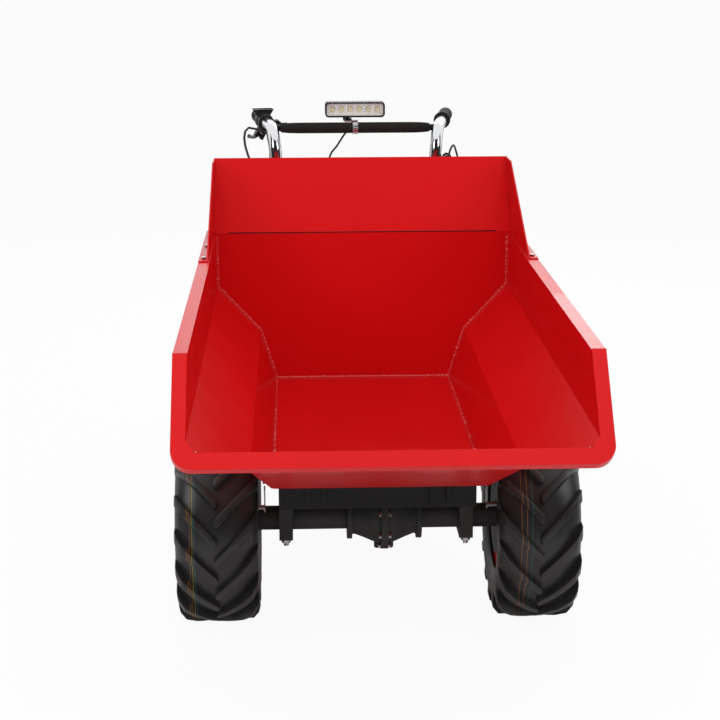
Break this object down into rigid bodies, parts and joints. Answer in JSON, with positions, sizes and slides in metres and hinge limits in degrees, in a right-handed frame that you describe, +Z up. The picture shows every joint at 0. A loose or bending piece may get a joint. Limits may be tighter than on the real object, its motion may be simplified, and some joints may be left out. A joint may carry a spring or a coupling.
{
  "type": "powered concrete buggy",
  "caption": "Walk-behind powered concrete buggy: red tipping hopper on a black frame, lugged front wheels, rear castors and a chrome handlebar with lamp and controls.",
  "frame": {"origin": "centre of the footprint on the ground", "axes": "+Z up, -Y towards the open mouth of the hopper, +Y towards the handlebar, +X to the operator's left"},
  "size_m": [0.78, 1.971, 0.924],
  "materials": {
    "red_paint": "gloss",
    "black_paint": "satin",
    "cast_black": "matt paint",
    "chrome_tube": "polished",
    "zinc_steel": "zinc plated",
    "drum_iron": "machined",
    "tyre_rubber": "matt",
    "castor_rubber": "matt",
    "grip_rubber": "matt",
    "foam": "foam",
    "black_plastic": "moulded",
    "battery_plastic": "moulded",
    "cable_sheath": "sheath",
    "lamp_metal": "satin",
    "reflector": "polished",
    "lens": "clear",
    "key_steel": "plated"
  },
  "bodies": {
    "chassis": {"rails": "black_paint", "crossmembers": "black_paint", "hinge_brackets": "black_paint", "axle_tubes": "cast_black", "diff_casing_left": "cast_black", "diff_casing_right": "cast_black", "axle_bolts": "zinc_steel", "drive_motor": "cast_black", "axle_clamps": "cast_black", "brake_backplates": "cast_black", "battery_box": "black_paint", "batteries": "battery_plastic", "motor_controller": "cast_black", "castor_plates": "zinc_steel", "handle_left": "chrome_tube", "handle_right": "chrome_tube", "handle_crossbar": "black_paint", "crossbar_foam": "foam", "grip_left": "grip_rubber", "control_box": "black_plastic", "lever_perch": "black_plastic", "key_switch": "black_plastic", "lamp_bracket": "zinc_steel", "brake_cables": "cable_sheath", "electric_leads": "cable_sheath", "hopper_pads": "castor_rubber", "cable_clips": "black_plastic"},
    "hopper": {"hopper_floor": "red_paint", "hopper_side_left": "red_paint", "hopper_side_right": "red_paint", "hopper_back": "red_paint", "hopper_rim": "red_paint", "rear_board": "red_paint", "board_bolts": "zinc_steel", "hopper_underframe": "red_paint"},
    "left_wheel": {"tyre_left": "tyre_rubber", "rim_left": "red_paint", "hub_drum_left": "drum_iron", "half_shaft_left": "zinc_steel"},
    "right_wheel": {"tyre_right": "tyre_rubber", "rim_right": "red_paint", "hub_drum_right": "drum_iron", "half_shaft_right": "zinc_steel"},
    "drive_gear": {"final_drive_gear": "zinc_steel"},
    "pinion": {"motor_pinion": "zinc_steel"},
    "left_castor": {"castor_fork_left": "zinc_steel"},
    "right_castor": {"castor_fork_right": "zinc_steel"},
    "left_castor_wheel": {"castor_wheel_left": "castor_rubber"},
    "right_castor_wheel": {"castor_wheel_right": "castor_rubber"},
    "left_brake_arm": {"brake_arm_left": "zinc_steel"},
    "right_brake_arm": {"brake_arm_right": "zinc_steel"},
    "hand_lever": {"brake_lever": "lamp_metal"},
    "twist_grip": {"throttle_grip": "grip_rubber"},
    "direction_switch": {"toggle_lever": "black_plastic"},
    "ignition_key": {"key": "key_steel"},
    "lamp": {"lamp_housing": "lamp_metal", "lamp_leds": "reflector", "lamp_lens": "lens"},
    "latch": {"latch_hook": "zinc_steel"},
    "lid": {"battery_lid": "red_paint"}
  },
  "joints": [
    {"name": "hopper_tip", "type": "hinge", "parent": "chassis", "child": "hopper", "pos_m": [0, -0.43759, 0.318], "axis": [1, 0, 0], "range_deg": [0, 50]},
    {"name": "wheel_left_spin", "type": "hinge", "parent": "chassis", "child": "left_wheel", "pos_m": [0.31, -0.32759, 0.203], "axis": [1, 0, 0], "continuous": true},
    {"name": "wheel_right_spin", "type": "hinge", "parent": "chassis", "child": "right_wheel", "pos_m": [-0.31, -0.32759, 0.203], "axis": [1, 0, 0], "continuous": true},
    {"name": "drive_gear_spin", "type": "hinge", "parent": "chassis", "child": "drive_gear", "pos_m": [0.017, -0.32759, 0.203], "axis": [1, 0, 0], "continuous": true},
    {"name": "pinion_spin", "type": "hinge", "parent": "chassis", "child": "pinion", "pos_m": [0.017, -0.30059, 0.203], "axis": [0, 1, 0], "continuous": true},
    {"name": "castor_left_swivel", "type": "hinge", "parent": "chassis", "child": "left_castor", "pos_m": [0.171, 0.55241, 0.24], "axis": [0, 0, 1], "continuous": true},
    {"name": "castor_right_swivel", "type": "hinge", "parent": "chassis", "child": "right_castor", "pos_m": [-0.171, 0.55241, 0.24], "axis": [0, 0, 1], "continuous": true},
    {"name": "castor_left_roll", "type": "hinge", "parent": "left_castor", "child": "left_castor_wheel", "pos_m": [0.171, 0.60741, 0.1], "axis": [1, 0, 0], "continuous": true},
    {"name": "castor_right_roll", "type": "hinge", "parent": "right_castor", "child": "right_castor_wheel", "pos_m": [-0.171, 0.60741, 0.1], "axis": [1, 0, 0], "continuous": true},
    {"name": "brake_lever_squeeze", "type": "hinge", "parent": "chassis", "child": "hand_lever", "pos_m": [-0.24287, 0.84142, 0.83232], "axis": [0.8692, 0.1559, -0.4693], "range_deg": [0, 12], "stiffness_Nm_per_rad": 2, "springref_deg": -5.73},
    {"name": "brake_arm_left_turn", "type": "hinge", "parent": "chassis", "child": "left_brake_arm", "pos_m": [0.218, -0.35759, 0.235], "axis": [-1, 0, 0], "range_deg": [0, 18]},
    {"name": "brake_arm_right_turn", "type": "hinge", "parent": "chassis", "child": "right_brake_arm", "pos_m": [-0.218, -0.35759, 0.235], "axis": [-1, 0, 0], "range_deg": [0, 18]},
    {"name": "throttle_twist", "type": "hinge", "parent": "chassis", "child": "twist_grip", "pos_m": [-0.248, 0.97741, 0.868], "axis": [-0.1614, 0.9865, 0.0287], "range_deg": [0, 60], "stiffness_Nm_per_rad": 0.2, "springref_deg": -11.46},
    {"name": "direction_toggle", "type": "hinge", "parent": "chassis", "child": "direction_switch", "pos_m": [-0.18959, 0.84832, 0.86007], "axis": [-0.0046, 0.0283, -0.9996], "range_deg": [-16, 16]},
    {"name": "key_turn", "type": "hinge", "parent": "chassis", "child": "ignition_key", "pos_m": [0.22816, 0.69241, 0.78811], "axis": [0, 1, 0], "range_deg": [0, 60]},
    {"name": "lamp_tilt", "type": "hinge", "parent": "chassis", "child": "lamp", "pos_m": [0, 0.75741, 0.88], "axis": [1, 0, 0], "range_deg": [-12, 12]},
    {"name": "latch_turn", "type": "hinge", "parent": "chassis", "child": "latch", "pos_m": [0.217, 0.19241, 0.285], "axis": [-1, 0, 0], "range_deg": [0, 38]},
    {"name": "lid_open", "type": "hinge", "parent": "chassis", "child": "lid", "pos_m": [0, 0.64041, 0.543], "axis": [-1, 0, 0], "range_deg": [0, 80]}
  ],
  "couplings": [
    {"joint": "drive_gear_spin", "follows": "wheel_left_spin", "ratio": 0.5},
    {"joint": "pinion_spin", "follows": "wheel_left_spin", "ratio": 1.5},
    {"joint": "brake_arm_left_turn", "follows": "brake_lever_squeeze", "ratio": 1.5},
    {"joint": "brake_arm_right_turn", "follows": "brake_lever_squeeze", "ratio": 1.5}
  ]
}
